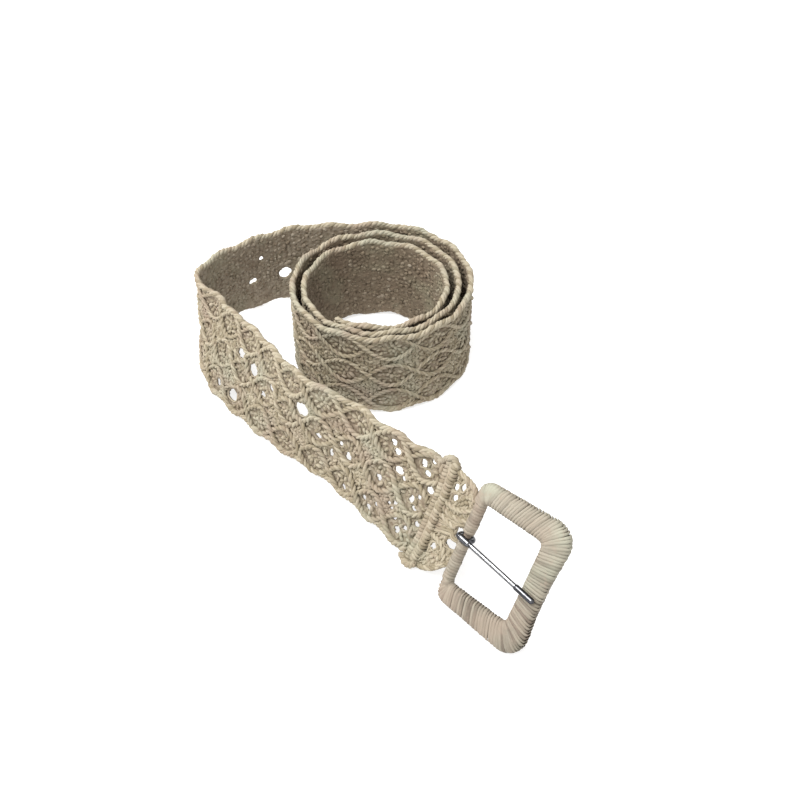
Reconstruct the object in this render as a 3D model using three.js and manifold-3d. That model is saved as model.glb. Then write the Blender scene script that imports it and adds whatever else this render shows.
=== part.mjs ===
import * as THREE from 'three';
import { mergeVertices } from 'three/addons/utils/BufferGeometryUtils.js';
import Module from 'manifold-3d';

// Knotted raffia belt, loosely rolled and standing on its lower edge, with the buckle end led
// round to the front. Millimetres, +Z up. While the pieces are worked out, the plan origin is
// the centre of the coil; at the end the whole belt is moved to stand on its own centre.

// Band
const band_width = 55;
const rib_thickness = 4.2;
const web_thickness = 2.6;
const edge_cord_thickness = 3;
const knot_thickness = 3.6;
const column_pitch_in_front = 21.4;
const column_pitch_in_coil = 26.2;
const first_column = -18.4;
const row_count = 3;
const rib_spacing_at_crossing = 2.4;
const rib_spacing_between_rows = 3.4;
const gap_length = 8.4;
const gap_height = 4.8;
const scallop_depth = 1.8;

// Coil
const coil_radius = 55;
const coil_turns = 2.6;
const pressed_clearance = 0.5;
const loose_clearance = 4.7;

// Free stretch in front of the coil, and its crossbar
const front_run = 150;
const crossbar_width = 7;
const crossbar_thickness = 6.4;
const crossbar_overhang = 2.2;

// Tab between the crossbar and the buckle's bar
const tab_reach = 25.8;
const tab_outset = 5.7;
const tab_width = 37;
const tab_thickness = 3;
const tab_rise = 2.4;
const sleeve_wall = 0.8;

// Buckle frame, wound with raffia, and its slim bar
const frame_height = 68;
const frame_reach = 47.7;
const frame_side = 12.5;
const frame_thickness = 6.5;
const frame_edge_round = 2.2;
const frame_corner_radius = 10;
const frame_end_radius = 6;
const frame_flare = 2;
const window_corner_radius = 3;
const frame_waist = 1.2;
const bar_radius = 1.9;
const frame_end_overhang = 3.2;
const buckle_turn = 6.5;

// Prong
const prong_wire = 2.3;
const prong_tip_diameter = 3;
const prong_tip_length = 9;
const prong_tip_inset = 3;
const prong_height_on_bar = 1.8;
const prong_slant = 6;
const prong_slot_reach = 6;

// Gaps between pieces that touch
const piece_gap = 0.3;
const slot_clearance = 0.7;

const walk_step = 1;

// Free stretch from the coil to the crossbar. share: length of the row as a share of the size
// that it follows; turn: degrees to the left; lean: degrees at the row's end, top edge inwards
const stretch = [
  { follows: coil_radius, share: 0.59, turn: 1, lean: 2 },
  { follows: coil_radius, share: 0.98, turn: 37.7, lean: 5 },
  { follows: coil_radius, share: 0.65, turn: 38, lean: 1 },
  { follows: coil_radius, share: 0.58, turn: 37, lean: 19 },
  { follows: coil_radius, share: 0.5, turn: 18, lean: 23 },
  { follows: front_run, share: 0.435, turn: 11, lean: 13 },
  { follows: front_run, share: 0.203, turn: -12, lean: 19 },
  { follows: front_run, share: 0.362, turn: 1, lean: 32 },
];

// Outline of the tab. x: share of the way from the crossbar to the bar; y: share of the half
// width that the tab has at that place
const tab_lower_edge = [
  { x: 0, y: -0.98 },
  { x: 0.2, y: -1.05 },
  { x: 0.43, y: -1.08 },
  { x: 0.6, y: -1.08 },
  { x: 0.74, y: -0.97 },
  { x: 0.84, y: -0.88 },
  { x: 1, y: -0.85 },
];
const tab_upper_edge = [
  { x: 1, y: 0.94 },
  { x: 0.84, y: 0.94 },
  { x: 0.74, y: 1.1 },
  { x: 0.6, y: 1.13 },
  { x: 0.43, y: 1.09 },
  { x: 0.17, y: 1.01 },
  { x: 0, y: 0.98 },
];
// Open eyes of the tab: centre and half sizes as shares of the tab's reach and half width
const tab_eyes = [
  { x: 0.22, y: 0.7, along: 0.055, across: 0.08 },
  { x: 0.42, y: 0.86, along: 0.055, across: 0.09 },
  { x: 0.33, y: 0.54, along: 0.06, across: 0.08 },
  { x: 0.23, y: -0.68, along: 0.055, across: 0.08 },
  { x: 0.36, y: -0.53, along: 0.055, across: 0.08 },
  { x: 0.75, y: -0.34, along: 0.13, across: 0.1 },
];

const wasm = await Module();
wasm.setup();

// Merges the corners that triangles share and drops the triangles that this collapses
function weld(geometry) {
  const bare = geometry.clone();
  bare.deleteAttribute('normal');
  bare.deleteAttribute('uv');
  const merged = mergeVertices(bare);
  const kept = [];
  for (let i = 0; i < merged.index.count; i += 3) {
    const [a, b, c] = [merged.index.getX(i), merged.index.getX(i + 1), merged.index.getX(i + 2)];
    if (a !== b && b !== c && c !== a) kept.push(a, b, c);
  }
  merged.setIndex(kept);
  merged.computeVertexNormals();
  return merged;
}

function toSolid(geometry) {
  const welded = weld(geometry);
  const vertProperties = new Float32Array(welded.attributes.position.array);
  const triVerts = new Uint32Array(welded.index.array);
  return new wasm.Manifold(new wasm.Mesh({ numProp: 3, vertProperties, triVerts }));
}

function toGeometry(solid) {
  const mesh = solid.getMesh();
  const geometry = new THREE.BufferGeometry();
  geometry.setAttribute('position', new THREE.BufferAttribute(mesh.vertProperties, 3));
  geometry.setIndex(new THREE.BufferAttribute(mesh.triVerts, 1));
  geometry.computeVertexNormals();
  return geometry;
}

// Directions of a strip that stands on its edge: along towards the buckle, up its width, and
// out through its ribbed face
function leaningFrame(heading, lean) {
  const inwards = new THREE.Vector3(-Math.sin(heading), Math.cos(heading), 0);
  const along = new THREE.Vector3(Math.cos(heading), Math.sin(heading), 0);
  const up = inwards.clone().multiplyScalar(Math.sin(lean));
  up.z = Math.cos(lean);
  return { along, up, out: along.clone().cross(up) };
}

// The coil: a spiral whose layers are pressed together in front and loose at the back
const coil_centre_radius = coil_radius - rib_thickness / 2;

function coilPoint(turn) {
  const angle = turn * 2 * Math.PI;
  const looseness = (1 + Math.cos(angle)) / 2;
  const clearance = pressed_clearance + (loose_clearance - pressed_clearance) * looseness;
  const radius = coil_centre_radius - turn * (rib_thickness + clearance);
  return { x: radius * Math.sin(angle), y: radius * Math.cos(angle) };
}

function walkCoil() {
  const stations = [];
  const steps = Math.round(coil_turns * 2 * Math.PI * coil_centre_radius / walk_step);
  for (let i = 0; i <= steps; i += 1) {
    const turn = coil_turns * i / steps;
    const before = coilPoint(turn + coil_turns / steps / 2);
    const after = coilPoint(turn - coil_turns / steps / 2);
    const heading = Math.atan2(after.y - before.y, after.x - before.x);
    stations.push({ ...coilPoint(turn), heading, lean: 0 });
  }
  return stations;
}

// The free stretch: headings and leans change evenly along each row of the table
function walkStretch(start) {
  const stations = [];
  let { x, y, heading, lean } = start;
  for (const row of stretch) {
    const run = row.share * row.follows;
    const steps = Math.round(run / walk_step);
    const turn = THREE.MathUtils.degToRad(row.turn);
    const leanStart = lean;
    const leanChange = THREE.MathUtils.degToRad(row.lean) - lean;
    for (let i = 1; i <= steps; i += 1) {
      const middle = heading + turn / steps / 2;
      x += Math.cos(middle) * run / steps;
      y += Math.sin(middle) * run / steps;
      heading += turn / steps;
      lean = leanStart + leanChange * (1 - Math.cos(Math.PI * i / steps)) / 2;
      stations.push({ x, y, heading, lean });
    }
  }
  return stations;
}

// Stations of the whole band from the crossbar to the tail, each with its length so far
function walkBand() {
  const coil = walkCoil();
  const path = [...walkStretch(coil[0]).reverse(), ...coil];
  let length = 0;
  path.forEach((station, i) => {
    const last = path[Math.max(i - 1, 0)];
    length += Math.hypot(station.x - last.x, station.y - last.y);
    station.length = length;
    const wholeTurns = Math.round((last.heading - station.heading) / (2 * Math.PI));
    station.heading += wholeTurns * 2 * Math.PI;
  });
  return path;
}

const band_path = walkBand();
const band_length = band_path[band_path.length - 1].length;

// Point of the band. length: from the crossbar; across: up from the lower edge; height: from
// the inner face outwards
function bandPoint(length, across, height) {
  let i = 1;
  while (i < band_path.length - 1 && band_path[i].length < length) i += 1;
  const a = band_path[i - 1];
  const b = band_path[i];
  const t = (length - a.length) / (b.length - a.length);
  const lean = THREE.MathUtils.lerp(a.lean, b.lean, t);
  const frame = leaningFrame(THREE.MathUtils.lerp(a.heading, b.heading, t), lean);
  const foot = new THREE.Vector3(
    THREE.MathUtils.lerp(a.x, b.x, t),
    THREE.MathUtils.lerp(a.y, b.y, t),
    rib_thickness / 2 * Math.sin(lean),
  );
  foot.addScaledVector(frame.up, across);
  return foot.addScaledVector(frame.out, height - rib_thickness / 2);
}

// Lengthwise lines of the knotted lattice at one place: two ribs for each row that part round
// an eye and cross between eyes, and the open gap between rows beside each crossing
function latticeLines(crossing, open) {
  const row = band_width / row_count;
  const farSpread = (row - rib_spacing_between_rows) / 2;
  const nearSpread = rib_spacing_at_crossing / 2;
  const spread = THREE.MathUtils.lerp(farSpread, nearSpread, crossing);
  const inset = crossing === 1 ? scallop_depth : 0;
  const middle = { 0: knot_thickness, 1: rib_thickness }[crossing] ?? web_thickness;
  const lines = [{ across: inset, height: edge_cord_thickness }];
  for (let r = 0; r < row_count; r += 1) {
    const centre = (r + 0.5) * row;
    lines.push({ across: centre - spread, height: rib_thickness });
    lines.push({ across: centre, height: middle });
    lines.push({ across: centre + spread, height: rib_thickness });
    if (r < row_count - 1) {
      const half = open ? gap_height / 2 : 0;
      lines.push({ across: (r + 1) * row - half, height: web_thickness, gap: true });
      lines.push({ across: (r + 1) * row + half, height: web_thickness });
    }
  }
  lines.push({ across: band_width - inset, height: edge_cord_thickness });
  return lines;
}

// Places where the ribs cross, closer together in front than in the coil
function crossingColumns() {
  const coilStart = stretch.reduce((sum, row) => sum + row.share * row.follows, 0);
  const columns = [];
  for (let length = first_column; length < band_length;) {
    columns.push(length);
    const share = THREE.MathUtils.clamp((length - front_run) / (coilStart - front_run), 0, 1);
    length += THREE.MathUtils.lerp(column_pitch_in_front, column_pitch_in_coil, share);
  }
  return columns;
}

// Stations across the lattice: at each crossing, at both ends of its gap, and at each eye
function latticeStations() {
  const start = crossbar_width / 2 + piece_gap;
  const stations = [{ length: start, crossing: 0.5, open: false }];
  const add = (length, crossing, open) => {
    const clear = open ? gap_length : gap_length / 4;
    if (length - start > clear && band_length - length > clear) {
      stations.push({ length, crossing, open });
    }
  };
  const columns = crossingColumns();
  columns.forEach((length, i) => {
    add(length - gap_length / 2, 0.5, false);
    add(length, 1, true);
    add(length + gap_length / 2, 0.5, false);
    if (i < columns.length - 1) add((length + columns[i + 1]) / 2, 0, false);
  });
  stations.push({ length: band_length, crossing: 0.5, open: false });
  return stations;
}

function bandGeometry() {
  const corners = [];
  const quad = (a, b, c, d) => corners.push(a, b, c, a, c, d);
  const sections = latticeStations().map((station) => {
    const lines = latticeLines(station.crossing, station.open);
    const last = lines.length - 1;
    return {
      open: station.open,
      lines,
      front: lines.map((line) => bandPoint(station.length, line.across, line.height)),
      back: lines.map((line) => bandPoint(station.length, line.across, 0)),
      last,
    };
  });
  for (let i = 0; i < sections.length - 1; i += 1) {
    const a = sections[i];
    const b = sections[i + 1];
    let stripStart = 0;
    for (let j = 0; j < a.last; j += 1) {
      if (!a.lines[j].gap) {
        quad(a.front[j], a.front[j + 1], b.front[j + 1], b.front[j]);
      }
      if (a.lines[j].gap || j + 1 === a.last) {
        const stripEnd = a.lines[j].gap ? j : a.last;
        quad(a.back[stripStart], b.back[stripStart], b.back[stripEnd], a.back[stripEnd]);
        stripStart = j + 1;
      }
      if (a.lines[j].gap && (a.open || b.open)) {
        quad(a.front[j], a.back[j], b.back[j], b.front[j]);
        quad(a.front[j + 1], b.front[j + 1], b.back[j + 1], a.back[j + 1]);
      }
    }
    quad(a.front[0], b.front[0], b.back[0], a.back[0]);
    quad(a.front[a.last], a.back[a.last], b.back[a.last], b.front[a.last]);
  }
  capSection(sections[0], corners, false);
  capSection(sections[sections.length - 1], corners, true);
  return weld(new THREE.BufferGeometry().setFromPoints(corners));
}

// Flat end of the band, whose outline follows the ribbed face and the flat one
function capSection(section, corners, atTail) {
  const outline = [];
  const points = [];
  section.lines.forEach((line, j) => {
    if (j === 0 || j === section.last || line.gap) {
      outline.push(new THREE.Vector2(line.across, 0));
      points.push(section.back[j]);
    }
  });
  for (let j = section.last; j >= 0; j -= 1) {
    if (!section.lines[j].gap) {
      outline.push(new THREE.Vector2(section.lines[j].across, section.lines[j].height));
      points.push(section.front[j]);
    }
  }
  for (const [a, b, c] of THREE.ShapeUtils.triangulateShape(outline, [])) {
    corners.push(...(atTail ? [points[a], points[c], points[b]] : [points[a], points[b], points[c]]));
  }
}

// Crossbar: a rounded bar of hitches across the end of the band
function crossbarGeometry() {
  const radius = crossbar_width / 2;
  const half = band_width / 2 + crossbar_overhang / 2;
  const profile = [
    new THREE.Vector2(0, -half),
    new THREE.Vector2(radius * 0.6, -half + radius * 0.15),
    new THREE.Vector2(radius, -half + radius * 0.8),
    new THREE.Vector2(radius, half - radius * 0.8),
    new THREE.Vector2(radius * 0.6, half - radius * 0.15),
    new THREE.Vector2(0, half),
  ];
  const geometry = new THREE.LatheGeometry(profile, 14);
  geometry.scale(1, 1, crossbar_thickness / crossbar_width);
  return toGeometry(toSolid(geometry));
}

// Frame of a leaning strip as a matrix: X along, Y up its width, Z out
function basisAt(frame, origin) {
  return new THREE.Matrix4().makeBasis(frame.along, frame.up, frame.out).setPosition(origin);
}

function place(mesh, frame, origin) {
  mesh.quaternion.setFromRotationMatrix(basisAt(frame, origin));
  mesh.position.copy(origin);
  return mesh;
}

const end_station = band_path[0];
const end_frame = leaningFrame(end_station.heading, end_station.lean);
const end_middle = bandPoint(0, band_width / 2, rib_thickness / 2);

// The buckle's own frame: X from the bar to the far side, Y along the bar, Z out. Its lower
// short side rests on the floor.
const buckle_heading = end_station.heading + THREE.MathUtils.degToRad(buckle_turn);
const buckle_frame_axes = leaningFrame(buckle_heading, end_station.lean);

function barMiddle() {
  const inwards = new THREE.Vector3(-end_frame.along.y, end_frame.along.x, 0);
  const foot = new THREE.Vector3(end_station.x, end_station.y, 0);
  foot.addScaledVector(end_frame.along, tab_reach).addScaledVector(inwards, -tab_outset);
  const lean = end_station.lean;
  const flatHalf = frame_thickness / 2 - frame_edge_round;
  const roundedEdge = frame_edge_round / Math.cos(lean) - frame_edge_round;
  const rise = frame_height / 2 + flatHalf * Math.tan(lean) + roundedEdge;
  return foot.addScaledVector(buckle_frame_axes.up, rise);
}
const bar_middle = barMiddle();

// Half-open outline of the wound sides: two short sides and the far side
function frameOutline() {
  const outer = frame_height / 2;
  const inner = outer - frame_side;
  const right = frame_reach;
  const left = -frame_end_overhang;
  const endOuter = outer - frame_flare;
  const r = frame_corner_radius;
  const e = frame_end_radius;
  const w = window_corner_radius;
  const quarter = Math.PI / 2;
  const shape = new THREE.Shape();
  shape.moveTo(left + e, -endOuter);
  shape.lineTo(right - r, -outer);
  shape.absarc(right - r, -outer + r, r, -quarter, 0);
  shape.quadraticCurveTo(right - 2 * frame_waist, 0, right, outer - r);
  shape.absarc(right - r, outer - r, r, 0, quarter);
  shape.lineTo(left + e, endOuter);
  shape.absarc(left + e, endOuter - e, e, quarter, 2 * quarter);
  shape.lineTo(left, inner + e / 2);
  shape.absarc(left + e / 2, inner + e / 2, e / 2, 2 * quarter, 3 * quarter);
  shape.lineTo(right - frame_side - w, inner);
  shape.absarc(right - frame_side - w, inner - w, w, quarter, 0, true);
  shape.lineTo(right - frame_side, -inner + w);
  shape.absarc(right - frame_side - w, -inner + w, w, 0, -quarter, true);
  shape.lineTo(left + e / 2, -inner);
  shape.absarc(left + e / 2, -inner - e / 2, e / 2, quarter, 2 * quarter);
  shape.lineTo(left, -endOuter + e);
  shape.absarc(left + e, -endOuter + e, e, 2 * quarter, 3 * quarter);
  return shape;
}

function frameGeometry() {
  const straight = frame_thickness - 2 * frame_edge_round;
  const sides = new THREE.ExtrudeGeometry(frameOutline(), {
    depth: straight,
    bevelThickness: frame_edge_round,
    bevelSize: frame_edge_round,
    bevelOffset: -frame_edge_round,
    bevelSegments: 3,
    curveSegments: 5,
  });
  sides.translate(0, 0, -straight / 2);
  const bar = new THREE.CylinderGeometry(bar_radius, bar_radius, frame_height - frame_side, 16);
  return toGeometry(toSolid(sides).add(toSolid(bar)));
}

// Point of the tab. x: share of the way from the crossbar to the bar; y: up from the middle
// of the tab; z: out from its middle plane
function tabPoint(x, y, z) {
  const start = end_middle.clone().addScaledVector(end_frame.up, y);
  const finish = bar_middle.clone().addScaledVector(buckle_frame_axes.up, tab_rise + y);
  const out = end_frame.out.clone().lerp(buckle_frame_axes.out, x).normalize();
  return start.lerp(finish, x).addScaledVector(out, z);
}

function tabHalfWidth(x) {
  return THREE.MathUtils.lerp(band_width, tab_width, x) / 2;
}

// Tab: flat knotted strip that narrows to the bar and loops round it in two sleeves, with a
// slot for the prong between them
function tabGeometry() {
  const corner = (p) => new THREE.Vector2(p.x * tab_reach, p.y * tabHalfWidth(p.x));
  const shape = new THREE.Shape();
  const lower = tab_lower_edge.map(corner);
  const upper = tab_upper_edge.map(corner);
  shape.moveTo(lower[0].x, lower[0].y);
  shape.splineThru(lower.slice(1));
  shape.lineTo(upper[0].x, upper[0].y);
  shape.splineThru(upper.slice(1));
  shape.closePath();
  for (const eye of tab_eyes) {
    const hole = new THREE.Path();
    const centre = corner(eye);
    const halfAcross = eye.across * tab_width / 2;
    hole.absellipse(centre.x, centre.y, eye.along * tab_reach, halfAcross, 0, 2 * Math.PI, true);
    shape.holes.push(hole);
  }
  const plate = new THREE.ExtrudeGeometry(shape, {
    depth: tab_thickness,
    bevelEnabled: false,
    curveSegments: 3,
  });
  const position = plate.attributes.position;
  const toBuckle = basisAt(buckle_frame_axes, bar_middle).invert();
  for (let i = 0; i < position.count; i += 1) {
    const x = position.getX(i) / tab_reach;
    const point = tabPoint(x, position.getY(i), position.getZ(i) - tab_thickness / 2);
    point.applyMatrix4(toBuckle);
    position.setXYZ(i, point.x, point.y, point.z);
  }
  const hollow = bar_radius + piece_gap;
  const sleeve = new THREE.CylinderGeometry(hollow + sleeve_wall, hollow + sleeve_wall, tab_width, 16);
  sleeve.translate(0, tab_rise, 0);
  const core = new THREE.CylinderGeometry(hollow, hollow, tab_width * 2, 16);
  core.translate(0, tab_rise, 0);
  const slotWidth = prong_wire + 2 * slot_clearance;
  const slot = new THREE.BoxGeometry(prong_slot_reach * 2, slotWidth, tab_width);
  slot.translate(0, prong_height_on_bar, 0);
  const crossbarRoom = new THREE.BoxGeometry(crossbar_width + 2 * piece_gap, 2 * band_width, band_width);
  crossbarRoom.applyMatrix4(toBuckle.multiply(basisAt(end_frame, end_middle)));
  const cuts = [core, slot, crossbarRoom].map(toSolid);
  const solid = cuts.reduce((rest, cut) => rest.subtract(cut), toSolid(plate).add(toSolid(sleeve)));
  return toGeometry(solid);
}

// Prong: wire looped round the bar, with a thicker tip that rests on the far side
function prongGeometry() {
  const wire = prong_wire / 2;
  const loop = bar_radius + piece_gap + wire;
  const tipRadius = prong_tip_diameter / 2;
  const tipHeight = frame_thickness / 2 + piece_gap + tipRadius;
  const tipReach = frame_reach - prong_tip_inset - tipRadius;
  const slant = Math.tan(THREE.MathUtils.degToRad(prong_slant));
  const start = new THREE.Vector3(0, 0, loop);
  const end = new THREE.Vector3(tipReach, -slant * tipReach, tipHeight);
  const direction = end.clone().sub(start).normalize();
  const turn = new THREE.Quaternion().setFromUnitVectors(new THREE.Vector3(0, 1, 0), direction);
  const rod = (radius, from, to) => {
    const geometry = new THREE.CapsuleGeometry(radius, from.distanceTo(to), 3, 10);
    geometry.applyQuaternion(turn);
    const middle = from.clone().lerp(to, 0.5);
    geometry.translate(middle.x, middle.y, middle.z);
    return toSolid(geometry);
  };
  const ring = new THREE.TorusGeometry(loop, wire, 10, 20);
  ring.rotateX(Math.PI / 2);
  const tipStart = end.clone().addScaledVector(direction, -prong_tip_length);
  const solid = toSolid(ring).add(rod(wire, start, end)).add(rod(tipRadius, tipStart, end));
  return toGeometry(solid.translate([0, prong_height_on_bar, 0]));
}

function material(color, roughness, metalness) {
  return new THREE.MeshStandardMaterial({ color, roughness, metalness });
}
const knotted_raffia = material(0xb9a88c, 0.85, 0);
const wound_raffia = material(0xcabb9f, 0.7, 0);
const polished_metal = material(0xb8bcc2, 0.2, 1);

function named(name, geometry, surface) {
  const mesh = new THREE.Mesh(geometry, surface);
  mesh.name = name;
  return mesh;
}

const belt = new THREE.Group();
belt.add(named('band', bandGeometry(), knotted_raffia));
const crossbar = named('crossbar', crossbarGeometry(), knotted_raffia);
const crossbar_middle = end_middle.clone().addScaledVector(end_frame.up, crossbar_overhang / 2);
belt.add(place(crossbar, end_frame, crossbar_middle));
belt.add(place(named('end_tab', tabGeometry(), knotted_raffia), buckle_frame_axes, bar_middle));
belt.add(place(named('buckle_frame', frameGeometry(), wound_raffia), buckle_frame_axes, bar_middle));
belt.add(place(named('prong', prongGeometry(), polished_metal), buckle_frame_axes, bar_middle));

// The belt stands on the origin's plane, over the middle of its own box
belt.updateMatrixWorld(true);
const box = new THREE.Box3().setFromObject(belt, true);
const centre = box.getCenter(new THREE.Vector3());
belt.position.set(-centre.x, -centre.y, -box.min.z);

const raffia_belt = new THREE.Group();
raffia_belt.name = 'raffia_belt';
raffia_belt.add(belt);
export default raffia_belt;
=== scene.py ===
import math

import bpy
import numpy as np
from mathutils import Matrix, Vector


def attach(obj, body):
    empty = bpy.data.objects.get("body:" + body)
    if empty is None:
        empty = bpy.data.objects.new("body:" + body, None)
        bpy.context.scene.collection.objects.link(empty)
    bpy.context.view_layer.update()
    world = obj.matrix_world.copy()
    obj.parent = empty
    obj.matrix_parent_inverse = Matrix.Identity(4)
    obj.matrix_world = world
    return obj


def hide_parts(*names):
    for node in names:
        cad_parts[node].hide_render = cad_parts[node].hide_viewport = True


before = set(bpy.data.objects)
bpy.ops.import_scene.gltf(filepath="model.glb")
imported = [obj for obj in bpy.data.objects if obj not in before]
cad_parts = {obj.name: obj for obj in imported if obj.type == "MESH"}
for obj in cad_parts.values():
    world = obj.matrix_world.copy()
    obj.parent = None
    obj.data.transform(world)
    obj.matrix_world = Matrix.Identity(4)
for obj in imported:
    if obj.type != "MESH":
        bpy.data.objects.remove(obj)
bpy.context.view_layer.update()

# Knotted raffia belt, loosely rolled, with a wound buckle and a bare metal prong.
# Metres. Band places are (length from the crossbar, width up from the lower edge, height out
# from the inner face); the other pieces have such coordinates of their own.
MM = 0.001
rng = np.random.default_rng(11)

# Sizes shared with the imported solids
band_width = 55 * MM
rib_thickness = 4.2 * MM
column_pitch_in_front = 21.4 * MM
column_pitch_in_coil = 26.2 * MM
first_column = -18.4 * MM
row_count = 3
rib_spacing_between_rows = 3.4 * MM
scallop_depth = 1.8 * MM
coil_radius = 55 * MM
coil_turns = 2.6
pressed_clearance = 0.5 * MM
loose_clearance = 4.7 * MM
front_run = 150 * MM
crossbar_width = 7 * MM
crossbar_thickness = 6.4 * MM
crossbar_overhang = 2.2 * MM
tab_reach = 25.8 * MM
tab_outset = 5.7 * MM
tab_rise = 2.4 * MM
frame_height = 68 * MM
frame_reach = 47.7 * MM
frame_side = 12.5 * MM
frame_thickness = 6.5 * MM
frame_edge_round = 2.2 * MM
frame_corner_radius = 10 * MM
frame_end_radius = 6 * MM
frame_flare = 2 * MM
window_corner_radius = 3 * MM
frame_waist = 1.2 * MM
frame_end_overhang = 3.2 * MM
bar_radius = 1.9 * MM
sleeve_radius = 3 * MM
buckle_turn = 6.5
prong_wire = 2.3 * MM
prong_tip_diameter = 3 * MM
prong_tip_length = 9 * MM
prong_tip_inset = 3 * MM
prong_height_on_bar = 1.8 * MM
prong_slant = 6
piece_gap = 0.3 * MM
slot_clearance = 0.7 * MM

# Middle of the prong's slot up the tab, and half of its width between the knots and windings
slot_middle = prong_height_on_bar - tab_rise
slot_half = prong_wire / 2 + slot_clearance + 0.9 * MM

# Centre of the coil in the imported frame
coil_centre = np.array([9.192, 77.129]) * MM

# Free stretch from the coil to the crossbar: size that the row follows, share of it, degrees
# of turn to the left, degrees of lean at the row's end
stretch = [
    (coil_radius, 0.59, 1, 2),
    (coil_radius, 0.98, 37.7, 5),
    (coil_radius, 0.65, 38, 1),
    (coil_radius, 0.58, 37, 19),
    (coil_radius, 0.5, 18, 23),
    (front_run, 0.435, 11, 13),
    (front_run, 0.203, -12, 19),
    (front_run, 0.362, 1, 32),
]

# Open places of the band in millimetres: length from the crossbar, width up from the lower
# edge, size along, size across
open_places = np.array([
    (8.4, 36.7, 4.6, 4.2), (6.7, 17.6, 3.8, 3), (27.4, 35.8, 5.4, 4.2), (23.5, 33.4, 2.6, 2.6),
    (17.4, 46.5, 4, 4), (12.9, 50.2, 3.2, 2.6), (13.4, 43, 4, 3),
    (15.5, 26.6, 3.4, 4.2), (12, 30, 2.4, 3), (12.1, 23.3, 3.4, 2.6),
    (35.1, 47.5, 4, 3.6), (31.6, 44.1, 3.8, 3.6), (36.5, 25.5, 3.8, 4),
    (58.2, 23.2, 4.2, 4.8), (64.2, 27.2, 2.6, 3), (68.6, 18.9, 3, 5.2), (78, 24, 4.2, 3.4),
    (55.9, 5.8, 3.4, 3.4), (44, 11.7, 2.4, 2.2), (40.8, 9.9, 3.4, 3), (36.5, 7, 3.8, 3.4),
    (32.4, 11.4, 3, 2.4), (25.8, 17, 2.6, 2.2), (22.6, 19.3, 2.6, 2.2), (23.4, 15.4, 2.4, 2),
    (19.7, 12.6, 3, 3), (15.2, 15.8, 2.8, 2.6), (15.6, 8.2, 4, 4.2), (11.9, 11.9, 2.6, 2.8),
    (90.8, 33.6, 9.4, 8), (114.8, 32.5, 8, 5.6), (134.9, 32.5, 8.2, 7),
    (148.7, 35.2, 7, 5.6), (146.5, 9.9, 8.4, 6.8), (161.4, 8.7, 4.8, 4.4),
    (126.9, 21.2, 4.8, 3.4), (122.2, 24.6, 4.4, 3.4),
    (257.5, 37.4, 3, 5), (272.6, 22.1, 8.2, 8.2), (251, 22.3, 5.6, 5.6),
]) * MM


# Small steps that many pieces share

def unit(v):
    return v / np.maximum(np.linalg.norm(v, axis=-1, keepdims=True), 1e-12)


def shaken(values, size):
    return values + size * rng.standard_normal(values.shape)


def run_along(line):
    """Length of a line (points, 2) up to each of its points."""
    return np.concatenate([[0], np.cumsum(np.hypot(*np.diff(line, axis=0).T))])


# Path of the band

def coil_point(turn):
    angle = 2 * math.pi * turn
    looseness = (1 + math.cos(angle)) / 2
    clearance = pressed_clearance + (loose_clearance - pressed_clearance) * looseness
    radius = coil_radius - rib_thickness / 2 - turn * (rib_thickness + clearance)
    return radius * math.sin(angle), radius * math.cos(angle)


def walk_coil():
    steps = round(coil_turns * 2 * math.pi * (coil_radius - rib_thickness / 2) / MM)
    stations = []
    for i in range(steps + 1):
        turn = coil_turns * i / steps
        before = coil_point(turn + coil_turns / steps / 2)
        after = coil_point(turn - coil_turns / steps / 2)
        heading = math.atan2(after[1] - before[1], after[0] - before[0])
        stations.append((*coil_point(turn), heading, 0))
    return stations


def walk_stretch(start):
    stations = []
    x, y, heading, lean = start
    for follows, share, degrees, lean_at_end in stretch:
        run = follows * share
        steps = round(run / MM)
        turn = math.radians(degrees)
        lean_at_start = lean
        lean_change = math.radians(lean_at_end) - lean
        for i in range(1, steps + 1):
            middle = heading + turn / steps / 2
            x += math.cos(middle) * run / steps
            y += math.sin(middle) * run / steps
            heading += turn / steps
            lean = lean_at_start + lean_change * (1 - math.cos(math.pi * i / steps)) / 2
            stations.append((x, y, heading, lean))
    return stations


coil_path = walk_coil()
path = np.array(walk_stretch(coil_path[0])[::-1] + coil_path)
path[:, :2] += coil_centre
path[:, 2] = np.unwrap(path[:, 2])
path_length = run_along(path[:, :2])
band_length = path_length[-1]
stretch_length = sum(row[0] * row[1] for row in stretch)


def leaning_axes(heading, lean):
    """Directions along towards the buckle, up the width and out, for arrays of angles."""
    level = np.zeros_like(heading)
    inwards = np.stack([-np.sin(heading), np.cos(heading), level], -1)
    along = np.stack([np.cos(heading), np.sin(heading), level], -1)
    up = inwards * np.sin(lean)[..., None]
    up[..., 2] = np.cos(lean)
    return along, up, np.cross(along, up)


def band_point(length, across, height):
    length, across, height = np.broadcast_arrays(length, across, height)
    x, y, heading, lean = (np.interp(length, path_length, path[:, i]) for i in range(4))
    _, up, out = leaning_axes(heading, lean)
    foot = np.stack([x, y, rib_thickness / 2 * np.sin(lean)], -1)
    return foot + up * across[..., None] + out * (height - rib_thickness / 2)[..., None]


# Places of the crossbar, the tab and the buckle

end_along, end_up, end_out = leaning_axes(path[0, 2], path[0, 3])
end_middle = band_point(0, band_width / 2, rib_thickness / 2)
buckle_along, buckle_up, buckle_out = leaning_axes(
    path[0, 2] + math.radians(buckle_turn), path[0, 3]
)


def bar_middle_point():
    inwards = np.array([-end_along[1], end_along[0], 0])
    foot = np.array([path[0, 0], path[0, 1], 0])
    foot = foot + end_along * tab_reach - inwards * tab_outset
    lean = path[0, 3]
    flat_half = frame_thickness / 2 - frame_edge_round
    rounded_edge = frame_edge_round / math.cos(lean) - frame_edge_round
    rise = frame_height / 2 + flat_half * math.tan(lean) + rounded_edge
    return foot + buckle_up * rise


bar_middle = bar_middle_point()


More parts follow.
